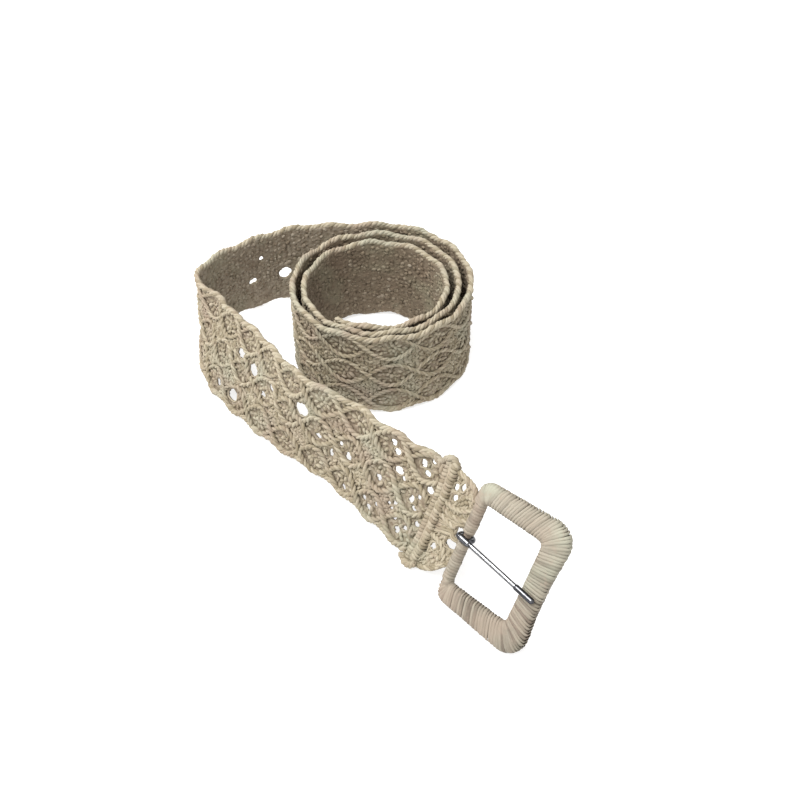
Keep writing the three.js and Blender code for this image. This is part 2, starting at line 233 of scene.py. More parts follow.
def laid_out(origin, axes, *distances):
    """Points at arrays of distances from an origin along three axes."""
    for axis, distance in zip(axes, np.broadcast_arrays(*distances)):
        origin = origin + axis * distance[..., None]
    return origin


def crossbar_point(along, across, height):
    """Along towards the band, as on the band itself; across from the crossbar's middle."""
    middle = end_middle + end_up * crossbar_overhang / 2
    return laid_out(middle, (-end_along, end_up, end_out), along, across, height)


def tab_point(reach, across, height):
    """Reach from the crossbar to the bar, across from the tab's middle, height from its plane."""
    reach, across, height = np.broadcast_arrays(reach, across, height)
    x = (reach / tab_reach)[..., None]
    start = end_middle + end_up * across[..., None]
    finish = bar_middle + buckle_up * (tab_rise + across)[..., None]
    out = unit(end_out * (1 - x) + buckle_out * x)
    return start * (1 - x) + finish * x + out * height[..., None]


def buckle_point(reach, across, height):
    """Reach from the bar towards the far side, across from mid height, height out."""
    return laid_out(bar_middle, (buckle_along, buckle_up, buckle_out), reach, across, height)


# Mesh building: every piece is an array of quads with a tone for each cord and, at each
# vertex, its place on the cord for the fibres

def skin(index, closed=False):
    """Quads over rings of vertices, index (cords, stations, sides), with caps on open ends."""
    following = np.roll(index, -1, 1) if closed else index[:, 1:]
    first = index if closed else index[:, :-1]
    quads = [np.stack([first, np.roll(first, -1, 2), np.roll(following, -1, 2), following], -1)]
    if not closed:
        for i in range(1, index.shape[2] - 1, 2):
            for ring in (index[:, 0, ::-1], index[:, -1]):
                quads.append(ring[:, [0, i, i + 1, i + 2]])
    return np.concatenate([q.reshape(-1, 4) for q in quads])


def tubes(points, outwards, half_wide, half_thick, sides=6, closed=False, tone=None):
    """Cords through points (cords, stations, 3), flattened across the outward directions."""
    count, stations = points.shape[:2]
    if closed:
        tangent = np.roll(points, -1, 1) - np.roll(points, 1, 1)
    else:
        tangent = np.gradient(points, axis=1)
    tangent = unit(tangent)
    side = unit(np.cross(outwards, tangent))
    out = np.cross(tangent, side)
    half_wide = np.broadcast_to(half_wide, (count, stations))[..., None, None]
    half_thick = np.broadcast_to(half_thick, (count, stations))[..., None, None]
    angle = 2 * math.pi * np.arange(sides) / sides - math.pi / 2
    verts = points[:, :, None] + (side[:, :, None] * np.cos(angle)[:, None] * half_wide
                                  + out[:, :, None] * np.sin(angle)[:, None] * half_thick)
    index = np.arange(count * stations * sides).reshape(count, stations, sides)
    step = np.linalg.norm(np.diff(points, axis=1), axis=-1)
    along = np.concatenate([np.zeros((count, 1)), np.cumsum(step, 1)], 1)
    around = np.arange(sides) * 0.8 * MM
    cord = rng.random(count) if tone is None else tone
    fibre = np.stack(np.broadcast_arrays(
        along[:, :, None], around[None, None, :], cord[:, None, None]), -1)
    return (verts.reshape(-1, 3), skin(index, closed), np.repeat(cord, stations * sides),
            fibre.reshape(-1, 3))


def new_object(name, data):
    made = bpy.data.objects.new(name, data)
    bpy.context.scene.collection.objects.link(made)
    return made


class Piece:
    """One mesh of many cords and sheets."""

    def __init__(self, name):
        self.name = name
        self.parts = []

    def add(self, *parts):
        self.parts.extend(parts)

    def joined(self, column):
        return np.concatenate([part[column] for part in self.parts]).astype(np.float32).ravel()

    def build(self, material, slot, *replaces, body="belt"):
        offset = np.cumsum([0] + [len(part[0]) for part in self.parts[:-1]])
        quads = np.concatenate([part[1] + o for part, o in zip(self.parts, offset)])
        corners = self.joined(0)
        mesh = bpy.data.meshes.new(self.name)
        mesh.vertices.add(len(corners) // 3)
        mesh.vertices.foreach_set("co", corners)
        mesh.loops.add(quads.size)
        mesh.polygons.add(len(quads))
        mesh.polygons.foreach_set("loop_start", np.arange(len(quads), dtype=np.int32) * 4)
        mesh.polygons.foreach_set("vertices", quads.astype(np.int32).ravel())
        mesh.update(calc_edges=True)
        mesh.validate()
        mesh.polygons.foreach_set("use_smooth", np.ones(len(mesh.polygons), bool))
        tone = mesh.attributes.new("tone", "FLOAT", "POINT")
        tone.data.foreach_set("value", self.joined(2))
        fibre = mesh.attributes.new("fibre", "FLOAT_VECTOR", "POINT")
        fibre.data.foreach_set("vector", self.joined(3))
        mesh.materials.append(material)
        piece = new_object(self.name, mesh)
        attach(piece, body)
        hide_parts(*replaces)


def rounded(angle, power):
    """Cosine and sine of a rounded rectangle."""
    c, s = np.cos(angle), np.sin(angle)
    return np.sign(c) * np.abs(c) ** power, np.sign(s) * np.abs(s) ** power


def wraps(surface, line, height, half_wide, half_high, cord_wide, cord_thick, slant=0.5 * MM,
          points=8, sides=5, jitter=0.1, power=0.75):
    """Closed turns of cord round a line (turns, 2) on a surface, leaning along it by slant."""
    count = len(line)
    direction = unit(np.gradient(line, axis=0))

    def shake(size):
        return 1 + jitter * size * rng.standard_normal(count)[:, None]

    c, s = rounded(2 * math.pi * (np.arange(points) + 0.5) / points - math.pi / 2, power)
    wide = np.reshape(half_wide, (-1, 1)) * shake(1)
    high = np.reshape(half_high, (-1, 1)) * shake(0.7)
    lean = slant * (1 + jitter * 3 * rng.standard_normal(count)[:, None])
    length = line[:, :1] - direction[:, 1:] * c * wide + direction[:, :1] * lean * c
    across = line[:, 1:] + direction[:, :1] * c * wide + direction[:, 1:] * lean * c
    turns = surface(length, across, height + s * high)
    outwards = turns - turns.mean(1, keepdims=True)
    return tubes(turns, outwards, cord_wide * shake(0.6), cord_thick * shake(0.6), sides,
                 closed=True)


def even_line(line, pitch):
    """The same line (points, 2) with points an even pitch apart."""
    run = run_along(line)
    count = max(round(run[-1] / pitch), 2)
    at = (np.arange(count) + 0.5) * run[-1] / count
    return np.stack([np.interp(at, run, column) for column in line.T], -1)


def strands(surface, length, across, height, half_wide, half_thick, sides=6, closed=False,
            tone=None):
    """Cords through arrays (cords, stations) of surface places, flat on the surface."""
    points = surface(length, across, height)
    outwards = unit(surface(length, across, height + MM) - points)
    return tubes(points, outwards, half_wide, half_thick, sides, closed, tone)


# Lattice of the band

def crossing_columns():
    columns = []
    length = first_column
    while length < band_length + column_pitch_in_coil:
        columns.append(length)
        length += np.interp(length, (front_run, stretch_length),
                            (column_pitch_in_front, column_pitch_in_coil))
    return np.array(columns)


columns = crossing_columns()
row_width = band_width / row_count
rib_swing = (row_width - rib_spacing_between_rows) / 2


def column_at(length):
    """Number of the column at a length, with the share of the way to the next."""
    return np.interp(length, columns, np.arange(len(columns)))


def rib_across(length, row, side):
    """Width at which a rib lies: the two ribs of a row cross at every column."""
    wave = np.sin(math.pi * column_at(length))
    wander = 0.35 * MM * np.sin(length / (9.1 * MM) + 2.1 * row + side)
    return (row + 0.5) * row_width + side * rib_swing * wave + wander


def edge_inset(length):
    return 1.2 * MM + scallop_depth * (1 + np.cos(2 * math.pi * column_at(length))) / 2


band_start = crossbar_width / 2 + piece_gap


def rope(surface, line, height, strand, offset, twist, plies=2, swell=0.0, step=MM,
         fat=1.0):
    """Twisted plies round a line (points, 2) on a surface; the twist is the length of a turn."""
    line = even_line(line, step)
    count = len(line)
    direction = unit(np.gradient(line, axis=0))
    run = np.arange(count) * step
    share = np.linspace(0, 1, count)
    height, fat = (np.interp(share, np.linspace(0, 1, np.size(value)), np.atleast_1d(value))
                   for value in (height, fat))
    wander = np.convolve(rng.standard_normal(count + 12), np.hanning(13) / 3, "valid")
    parts = []
    for ply in range(plies):
        turn = 2 * math.pi * (run / twist + ply / plies) + 0.5 * wander
        own = np.convolve(rng.standard_normal(count + 6), np.hanning(7) / 2, "valid")
        own = np.clip(own, -1.2, 1)
        sideways = offset * fat * np.cos(turn)
        length = line[:, 0] - direction[:, 1] * sideways
        across = line[:, 1] + direction[:, 0] * sideways
        size = strand * fat * (1 + swell * own)
        parts.append(strands(surface, length[None], across[None],
                             (height + offset * fat * np.sin(turn))[None], size[None], size[None]))
    return parts


def led_past(line, holes, margin):
    """Line (points, 2) bent aside so that it passes each open place on its nearer side."""
    line = line.copy()
    for at, up, long, wide in holes:
        x = (line[:, 0] - at) / (long / 2 + margin)
        y = (line[:, 1] - up) / (wide / 2 + margin)
        close = (np.abs(x) < 1) & (np.abs(y) < 1)
        if close.any():
            side = 1 if y[close].mean() > 0 else -1
            pull = np.clip(side * 1.05 - y, *sorted((0, side * 2))) * np.exp(-x ** 4)
            line[:, 1] += np.where(np.abs(y) < 2, pull, 0) * (wide / 2 + margin)
    return line


def lattice_ribs(row):
    """Two twisted ropes that cross between the eyes of a row."""
    piece = Piece(["ribs_lower", "ribs_middle", "ribs_upper"][row])
    for side in (1, -1):
        length = np.arange(band_start + 1.2 * MM, band_length - MM, 0.5 * MM)
        line = np.stack([length, rib_across(length, row, side)], -1)
        wide_places = open_places[open_places[:, 2] > 4.5 * MM]
        line = even_line(led_past(line, wide_places, 0.9 * MM), MM)
        over = side * np.cos(math.pi * column_at(line[:, 0]))
        crossing = np.abs(np.cos(math.pi * column_at(line[:, 0]))) ** 4
        height = 2.5 * MM + 0.45 * MM * over * crossing
        fat = np.interp(line[:, 0], [0, 120 * MM, 180 * MM], [1.3, 1.15, 1])
        piece.add(*rope(band_point, line, height, strand=0.74 * MM, offset=0.55 * MM,
                        twist=6.2 * MM * side, swell=0.17, fat=fat))
    return piece


def edge_ropes():
    """Scalloped thick rope along both edges of the band, and across its tail."""
    piece = Piece("edge_ropes")
    edge_rope_height = 2.05 * MM
    for top in (False, True):
        length = np.arange(band_start + 0.8 * MM, band_length - 0.8 * MM, 0.5 * MM)
        across = edge_inset(length) + (0.25 if top else 0.75) * MM
        across = band_width - across if top else across
        line = np.stack([length, across], -1)
        piece.add(*rope(band_point, line, edge_rope_height, strand=0.98 * MM, offset=0.78 * MM,
                        twist=7.6 * MM, plies=3, swell=0.3))
    across = np.arange(2.6 * MM, band_width - 2.6 * MM, MM)
    line = np.stack([np.full_like(across, band_length - 1.6 * MM), across], -1)
    piece.add(*rope(band_point, line, edge_rope_height, strand=0.95 * MM, offset=0.8 * MM,
                    twist=12 * MM, plies=3, swell=0.2))
    return piece


def eye_middles():
    middles = (columns[:-1] + columns[1:]) / 2
    middles = middles[(middles > band_start + 4 * MM) & (middles < band_length - 4 * MM)]
    return np.array([(eye, (row + 0.5) * row_width) for eye in middles
                     for row in range(row_count)])


def near_rib(length, across, margin=0.7 * MM):
    near = (length < band_start) | (length > band_length - MM - margin)
    inset = edge_inset(length) + margin
    near |= (across < inset) | (across > band_width - inset)
    for row in range(row_count):
        for side in (1, -1):
            near |= np.abs(across - rib_across(length, row, side)) < margin
    return near


def kept_cords(length, across, holes, margin):
    """Cords that cross no open place; the arrays are (..., stations)."""
    kept = np.ones(length.shape[:-1], bool)
    for at, up, long, wide in holes:
        inside = (((length - at) / (long / 2 + margin)) ** 2
                  + ((across - up) / (wide / 2 + margin)) ** 2) < 1
        kept &= ~inside.any(-1)
    return kept


def knots(surface, length, across, heading, half_long, half_wide, height, holes,
          half_thick=0.8 * MM, bow=0.7 * MM, tone=None):
    """Short fat cords, each centred at a place and bulging out of the surface. Their sizes
    and height are numbers or arrays (knots, 1)."""
    share = np.array([-1, -0.45, 0.45, 1])
    size = 1 + 0.13 * rng.standard_normal((len(length), 1))
    run = share * half_long * size
    length = length[:, None] + np.cos(heading)[:, None] * run
    across = across[:, None] + np.sin(heading)[:, None] * run
    kept = kept_cords(length, across, holes, 0.35 * MM)
    lift = 0.2 * MM * rng.standard_normal((len(length), 1))
    heights = height + lift - bow * share ** 2
    wide = half_wide * size * np.array([0.62, 1, 1, 0.62])
    return strands(surface, length[kept], across[kept], heights[kept], wide[kept],
                   half_thick, sides=4, tone=None if tone is None else tone[kept])


def eye_knots(surface, middles, near, holes, height):
    """Rosette of each eye: a raised flower, then rings of short spokes out to the ribs."""
    places = []
    for radius, count, half_long, half_wide, lift in (
            (1.8, 5, 1.1, 1.1, 0.1), (4.4, 9, 1.4, 1.02, 0), (7.2, 15, 1.35, 1.02, 0),
            (9.8, 19, 1.3, 1.02, 0), (12.4, 24, 1.25, 1.02, 0)):
        angle = 2 * math.pi * (np.arange(count) + rng.random((len(middles), 1))) / count
        angle = angle + 0.35 / count * rng.standard_normal(angle.shape)
        far = (radius + 0.4 * rng.standard_normal(angle.shape)) * MM
        length = middles[:, :1] + np.cos(angle) * far
        across = middles[:, 1:] + np.sin(angle) * far
        heading = angle + 0.42 * rng.standard_normal(angle.shape)
        kept = ~near(length, across, 1.35 * MM)
        for share, margin in ((0.9, 0.6), (0.5, 0.3)):
            part_way = share * radius * MM
            kept &= ~near(middles[:, :1] + np.cos(angle) * part_way,
                          middles[:, 1:] + np.sin(angle) * part_way, margin * MM)
        sizes = np.array([half_long * MM, half_wide * MM, height + lift * MM])
        sizes = np.broadcast_to(sizes[:, None], (3, kept.sum()))
        places.append(np.stack([length[kept], across[kept], heading[kept], *sizes]))
    length, across, heading, *sizes = np.concatenate(places, 1)
    return knots(surface, length, across, heading, *(size[:, None] for size in sizes), holes)


def in_eye(length, across):
    """Whether places lie between the two ribs of a row."""
    inside = np.zeros(np.broadcast(length, across).shape, bool)
    for row in range(row_count):
        ribs = rib_across(length, row, 1), rib_across(length, row, -1)
        inside |= (across > np.minimum(*ribs)) & (across < np.maximum(*ribs))
    return inside


def staggered(along, up, pitch, shake):
    """Places in staggered rows, each a little out of line, with the row and column of each;
    along and up are the limits."""
    length, across = np.meshgrid(np.arange(*along, pitch), np.arange(*up, pitch), indexing="ij")
    row, column = np.indices(length.shape)
    across = across + 0.5 * pitch * (row % 2)
    return shaken(length, shake), shaken(across, shake), row, column


def diamond_knots():
    """Slanting short cords, like a coarse twill, between the rows of eyes."""
    length, across, row, column = staggered(
        (band_start + MM, band_length - 2 * MM), (MM, band_width), 2.15 * MM, 0.25 * MM)
    way = np.where((row + column // 2) % 2 == 0, 1, -1)
    heading = way * (0.85 + 0.22 * rng.standard_normal(length.shape))
    kept = ~near_rib(length, across, 1.3 * MM) & ~in_eye(length, across)
    return knots(band_point, length[kept], across[kept], heading[kept], half_long=1.5 * MM,
                 half_wide=MM, height=1.95 * MM, holes=open_places)


def inner_knots():
    """Loops of the knots that show on the inner face."""
    length, across, _, _ = staggered((band_start + MM, band_length - 2 * MM),
                                     (3.2 * MM, band_width - 3 * MM), 2.95 * MM, 0.45 * MM)
    heading = 0.8 * rng.standard_normal(length.shape)
    inset = edge_inset(length) + 1.6 * MM
    kept = (across > inset) & (across < band_width - inset)
    # Painted shade: inside the coil the knot loops get a darker tone than along the free stretch.
    tone = shaken(np.where(length[kept] < stretch_length, 0.72, 0.45), 0.12)
    piece = Piece("inner_knots")
    piece.add(knots(band_point, length[kept], across[kept], heading[kept], half_long=1.25 * MM,
                    half_wide=1.2 * MM, height=0.52 * MM, holes=open_places,
                    half_thick=0.55 * MM, bow=-0.35 * MM, tone=tone))
    return piece


def rims(surface, holes, height):
    """A cord round each open place."""
    angle = 2 * math.pi * np.arange(14) / 14
    grow = 0.45 * MM + 0.22 * MM * rng.standard_normal((len(holes), 14))
    length = holes[:, :1] + (holes[:, 2:3] / 2 + grow) * np.cos(angle)
    across = holes[:, 1:2] + (holes[:, 3:] / 2 + grow) * np.sin(angle)
    height = height + 0.3 * MM * rng.standard_normal(length.shape)
    return strands(surface, length, across, height, 0.5 * MM, 0.5 * MM, closed=True)


def fill_cells():
    eyes, diamonds = Piece("eye_knots"), Piece("diamond_knots")
    eyes.add(eye_knots(band_point, eye_middles(), near_rib, open_places, 1.8 * MM))
    diamonds.add(diamond_knots(), rims(band_point, open_places, 1.2 * MM))
    return eyes, diamonds


def sheet_grid(surface, length, across, inner, outer, keep, bump, inner_tone=0.5):
    """Closed sheet over a grid of places, without the cells that keep is False for. Both faces
    are crumpled by bump, with painted light and shade: raised places painted lighter, hollows
    darker."""
    shake = rng.standard_normal((2, *length.shape))
    inner = inner - bump * shake[0]
    outer = outer + bump * shake[1]
    rows, cols = length.shape
    index = np.arange(rows * cols).reshape(rows, cols)
    other = index + rows * cols
    verts = np.concatenate([surface(length, across, outer).reshape(-1, 3),
                            surface(length, across, inner).reshape(-1, 3)])
    low, high = slice(None, -1), slice(1, None)
    a, b, c, d = (low, low), (low, high), (high, high), (high, low)
    quads = [np.stack([index[corner] for corner in (a, b, c, d)], -1)[keep],
             np.stack([other[corner] for corner in (a, d, c, b)], -1)[keep]]
    padded = np.pad(keep, 1)
    for before, first, second in ((padded[:-2, 1:-1], b, a), (padded[2:, 1:-1], d, c),
                                  (padded[1:-1, :-2], a, d), (padded[1:-1, 2:], c, b)):
        open_side = keep & ~before
        quads.append(np.stack([index[first][open_side], index[second][open_side],
                               other[second][open_side], other[first][open_side]], -1))
    quads = np.concatenate(quads)
    used = np.unique(quads)
    renumbered = np.zeros(len(verts), int)
    renumbered[used] = np.arange(len(used))
    fibre = np.stack([length, across, np.zeros_like(length)], -1).reshape(-1, 3)
    fibre = np.concatenate([fibre, fibre + 0.05])
    # Painted light and shade: raised corners of each face get a lighter tone, hollow ones a darker
    # tone.
    tone = np.concatenate([0.6 + 0.15 * shake[1].ravel(), (inner_tone + 0.1 * shake[0]).ravel()])
    return verts[used], renumbered[quads], np.clip(tone, 0, 1)[used], fibre[used]


def snap_to_holes(length, across, holes, cell):
    """Moves grid places near the rim of a hole onto the rim; says which cells of the grid
    don't lie wholly in one."""
    inside = np.zeros(length.shape, bool)
    for at, up, long, wide in holes:
        x, y = (length - at) / (long / 2), (across - up) / (wide / 2)
        radius = np.maximum(np.hypot(x, y), 1e-6)
        near = np.abs(radius - 1) * min(long, wide) / 2 < 0.6 * cell
        length = np.where(near, at + x / radius * long / 2, length)
        across = np.where(near, up + y / radius * wide / 2, across)
        inside |= near | (radius < 1)
    closed = ~(inside[:-1, :-1] & inside[:-1, 1:] & inside[1:, :-1] & inside[1:, 1:])
    return length, across, closed


def band_web():
    """Packed cords between the ribs, as one pierced and crumpled sheet in a darker straw, painted
    shade for the crevices between the knots.
    """
    cell = 1.15 * MM
    fine = np.arange(band_start, stretch_length, cell)
    coarse = np.arange(stretch_length, band_length - 0.8 * MM, 1.8 * MM)
    along = np.concatenate([fine, coarse])
    share = np.linspace(0, 1, round(band_width / cell))
    length = np.broadcast_to(along[:, None], (len(along), len(share)))
    inset = edge_inset(along)[:, None] + 0.2 * MM
    across = inset + (band_width - 2 * inset) * share
    length, across = shaken(length, 0.12 * MM), shaken(across, 0.12 * MM)
    length, across, closed = snap_to_holes(length, across, open_places, cell)
    piece = Piece("band_web")
    # Painted shade: inside the coil the inner face gets a darker tone than along the free stretch.
    inner_tone = np.where(length < stretch_length, 0.68, 0.32)
    piece.add(sheet_grid(band_point, length, across, inner=0.5 * MM, outer=1.5 * MM,
                         keep=closed, bump=0.22 * MM, inner_tone=inner_tone))
    return piece


# Crossbar

def crossbar_bow(across):
    """How far the crossbar leans back towards the band, at a width from its middle."""
    top = 3.2 * MM * (np.clip(across, 0, None) / (29 * MM)) ** 2
    return top - MM * np.sin(math.pi * np.clip(-across / (26 * MM), 0, 1))


def crossbar():
    """Raised bar of hitches: two columns of wraps side by side over a core, with a thick
    knotted rope over each end."""
    piece = Piece("crossbar_hitches")
    half = band_width / 2 + crossbar_overhang / 2 - 0.9 * MM
    column_half = crossbar_width / 4 + 0.2 * MM
    for side, shift in ((-1, 0), (1, 0.9 * MM)):
        across = np.arange(-half + shift, half, 0.5 * MM)
        along = side * crossbar_width / 4 + crossbar_bow(across)
        line = even_line(np.stack([along, across], -1), 1.8 * MM)
        bow = 1 - 0.3 * (np.abs(line[:, 1]) / half) ** 12
        piece.add(wraps(crossbar_point, line, 0.4 * MM, bow * column_half,
                        bow * (crossbar_thickness / 2 - 0.3 * MM), cord_wide=1.04 * MM,
                        cord_thick=0.36 * MM, slant=0.5 * MM * side, points=12, sides=6,
                        jitter=0.08))
    ends = (([(8.4, 24.6), (7, 27.4), (4.2, 28.8), (1.2, 28), (0, 25.6)], 0.9),
            ([(4.6, -25.6), (3.6, -27.6), (0.4, -28.4), (-3, -27.8), (-4.8, -25)], 3.2))
    for points, height in ends:
        piece.add(*rope(crossbar_point, spline(points) * MM, height * MM, strand=1.1 * MM,
                        offset=0.9 * MM, twist=6 * MM, plies=3, swell=0.25))
    across = np.linspace(0.6 * MM - half, half - 0.6 * MM, 8)[None]
    piece.add(strands(crossbar_point, crossbar_bow(across), across, np.zeros((1, 8)),
                      crossbar_width / 2 - 0.5 * MM, crossbar_thickness / 2 - 0.1 * MM, 12))
    return piece


# Tab between the crossbar and the bar. Outlines: share of the reach, width in millimetres
tab_upper_edge = [(0, 26.2), (0.1, 26), (0.37, 24.8), (0.58, 23.3), (0.71, 21.8), (0.8, 19),
                  (0.92, 17)]
tab_lower_edge = [(0, -26.4), (0.14, -26.8), (0.37, -25.6), (0.56, -23.6), (0.7, -20.2),
                  (0.8, -18), (0.92, -15.8)]
# Open places: share of the reach, width, then sizes along and across, in millimetres
tab_open_places = np.array([
    (0.2, 18.8, 4, 3.8), (0.385, 20.4, 3.4, 4.4), (0.3, 13.8, 4.2, 3.8),
    (0.2, -16.7, 3.4, 4.2), (0.34, -13.4, 3.6, 4), (0.73, -7.6, 8.2, 4.8),
]) * (tab_reach, MM, MM, MM)
# Twisted ribs: share of the reach and width of the points of each
tab_ribs = [
    [(0.1, 10), (0.3, 9.4), (0.52, 9.2), (0.72, 10.4), (0.9, 13)],
    [(0.1, 3.6), (0.3, 2.2), (0.55, 1.1), (0.69, 0.5)],
    [(0.1, -7), (0.23, -8.2), (0.45, -9.6), (0.65, -13), (0.74, -18), (0.64, -22.5)],
    [(0.1, 8.2), (0.22, 6), (0.45, 5), (0.7, 5.2), (0.9, 7)],
]
tab_eye_middles = [(0.52, 17), (0.58, -16.4)]


def spline(points, count=60):
    """Smooth line through points (points, 2)."""
    points = np.array(points, float)
    padded = np.concatenate([[2 * points[0] - points[1]], points, [2 * points[-1] - points[-2]]])
    t = np.linspace(0, len(points) - 1, count)
    i = np.minimum(t.astype(int), len(points) - 2)
    f = (t - i)[:, None]
    p0, p1, p2, p3 = (padded[i + k] for k in range(4))
    return 0.5 * (2 * p1 + (p2 - p0) * f + (2 * p0 - 5 * p1 + 4 * p2 - p3) * f ** 2
                  + (3 * p1 - p0 - 3 * p2 + p3) * f ** 3)


def tab_line(points):
    return spline(points) * (tab_reach, MM)


def tab_web():
    """Pierced sheet of the tab."""
    upper, lower = tab_line(tab_upper_edge), tab_line(tab_lower_edge)
    along = np.linspace(crossbar_width / 2, tab_reach - 1.5 * MM, 28)[:, None]
    top = np.interp(along, *upper.T) - 0.8 * MM
    bottom = np.interp(along, *lower.T) + 0.8 * MM
    share = np.linspace(0, 1, 52)
    reach = np.broadcast_to(along, (28, 52))
    across = bottom + (top - bottom) * share
    reach, across, closed = snap_to_holes(reach, across, tab_open_places, MM)
    middle = (across[:-1, :-1] + across[1:, 1:]) / 2
    beside = (np.abs(middle - slot_middle) < slot_half) & (reach[1:, :-1] > tab_reach - 7 * MM)
    return sheet_grid(tab_point, reach, across, inner=-1.1 * MM, outer=0.1 * MM,
                      keep=closed & ~beside, bump=0.25 * MM)


def tab():
    piece = Piece("tab_knots")
    piece.add(tab_web())
    outline = [tab_line(tab_upper_edge), tab_line(tab_lower_edge)]
    for line in outline:
        piece.add(*rope(tab_point, line, -0.1 * MM, strand=0.85 * MM, offset=0.7 * MM,
                        twist=9 * MM, plies=3, swell=0.15))
    ribs = [tab_line(rib) for rib in tab_ribs]
    for line in ribs:
        piece.add(*rope(tab_point, line, 0.6 * MM, strand=0.8 * MM, offset=0.6 * MM,
                        twist=7 * MM, swell=0.15))
    piece.add(rims(tab_point, tab_open_places, 0.1 * MM))
    lines = np.concatenate(outline + ribs)
    upper, lower = outline
    fan = np.linspace(0, 1, 13)[:, None]
    share = np.linspace(0, 1, 9)
    reach = (0.2 + 0.68 * share) * tab_reach + 0.3 * MM * rng.standard_normal((13, 1))
    spread = (1 - share) ** 0.8
    across = (-5.6 + 12.4 * fan) * MM * spread + (-1.6 + 7 * fan) * MM * (1 - spread)
    across = shaken(across, 0.2 * MM)
    parted = np.clip((reach - tab_reach + 10 * MM) / (3 * MM), 0, 1)
    gap = across - slot_middle
    side = np.sign(gap.mean(1, keepdims=True))
    across = slot_middle + (1 - 0.35 * parted) * gap + 3.3 * MM * parted * side
    heights = 0.7 * MM + 0.2 * MM * rng.standard_normal((13, 1)) - 0.5 * MM * share ** 3
    piece.add(strands(tab_point, reach, across, heights, 0.68 * MM, 0.5 * MM))

    def near(reach, across, margin):
        gaps = np.hypot(reach[..., None] - lines[:, 0], across[..., None] - lines[:, 1])
        outside = across > np.interp(reach, *upper.T) - margin
        outside |= across < np.interp(reach, *lower.T) + margin
        outside |= (reach < 3.6 * MM) | (reach > tab_reach - sleeve_radius - 0.4 * MM)
        return outside | (gaps.min(-1) < margin)

    middles = np.array(tab_eye_middles) * (tab_reach, MM)
    slot = np.array([[tab_reach - MM, slot_middle, 14.5 * MM, 7.6 * MM]])
    holes = np.concatenate([tab_open_places, slot])
    piece.add(eye_knots(tab_point, middles, near, holes, 0.35 * MM))
    reach, across, _, column = staggered((4.2 * MM, tab_reach - 2.6 * MM), (-27 * MM, 29 * MM),
                                         2 * MM, 0.3 * MM)
    heading = np.arctan2(across - 2 * MM, reach - tab_reach * 0.95)
    heading = shaken(heading + np.where(column % 2 == 0, 0.4, -0.4), 0.2)
    from_eye = np.hypot(reach[..., None] - middles[:, 0], across[..., None] - middles[:, 1]).min(-1)
    kept = ~near(reach, across, 1.1 * MM) & (from_eye > 6 * MM)
    kept &= (across < -6 * MM) | (across > 7.4 * MM)
    piece.add(knots(tab_point, reach[kept], across[kept], heading[kept], half_long=1.45 * MM,
                    half_wide=0.85 * MM, height=0.35 * MM, holes=holes))
    return piece


# Buckle frame: spokes run from the window's rim to the outer rim round the three wound sides

def spokes(pitch):
    """Inner and outer end of each spoke, an even pitch apart at the outer rim: from the bar
    round a corner, along a short side, round the far corner and down to mid height."""
    outer, inner = frame_height / 2, frame_height / 2 - frame_side
    left, right = -frame_end_overhang, frame_reach
    e, r, w = frame_end_radius, frame_corner_radius, window_corner_radius

    def arc(x, y, radius, first, last):
        return [(x + radius * math.cos(math.radians(a)), y + radius * math.sin(math.radians(a)))
                for a in np.linspace(first, last, 9)]

    top = outer - frame_flare
    bar_side = sleeve_radius - 0.4 * MM
    sections = [
        ([(left, inner - MM), *arc(left + e, top - e, e, 180, 90), (e, top)],
         [(bar_side, inner - MM), *arc(bar_side + MM, inner - MM, MM, 180, 90)]),
        ([(e, top), (right - r, outer)],
         [(bar_side + MM, inner), (right - frame_side - w, inner)]),
        (arc(right - r, outer - r, r, 90, 0),
         arc(right - frame_side - w, inner - w, w, 90, 0)),
        ([(right, outer - r), (right - frame_waist * 0.75, (outer - r) / 2),
          (right - frame_waist, 0)],
         [(right - frame_side, inner - w), (right - frame_side, 0)]),
    ]
    rows = []
    for outer_line, inner_line in sections:
        outer_line, inner_line = np.array(outer_line), np.array(inner_line)
        count = max(round(run_along(outer_line)[-1] / pitch), 1)
        at = (np.arange(count) + 0.5) / count
        ends = []
        for line in (inner_line, outer_line):
            run = run_along(line)
            ends += [np.interp(at * run[-1], run, column) for column in line.T]
        rows.append(np.stack(ends, -1))
    upper = np.concatenate(rows)
    lower = upper[::-1] * (1, -1, 1, -1)
    lower[:, 2] += 2 * MM * np.clip(1 - (lower[:, 2] - left) / (2 * e), 0, 1)
    return np.concatenate([upper, lower])


def section(spoke, points, grow, power=0.62):
    """Closed turn round the frame's section at each spoke, grown outwards."""
    c, s = rounded(2 * math.pi * (np.arange(points) + 0.5) / points + math.pi, power)
    start, end = spoke[:, :2], spoke[:, 2:]
    middle, half = (start + end) / 2, (end - start) / 2
    reach = np.linalg.norm(half, axis=1, keepdims=True)
    ray = half / reach
    wide = reach + grow
    flat = middle[:, None] + ray[:, None] * (c * wide)[..., None]
    high = s * (frame_thickness / 2 + grow)
    return flat, high, c, s, ray


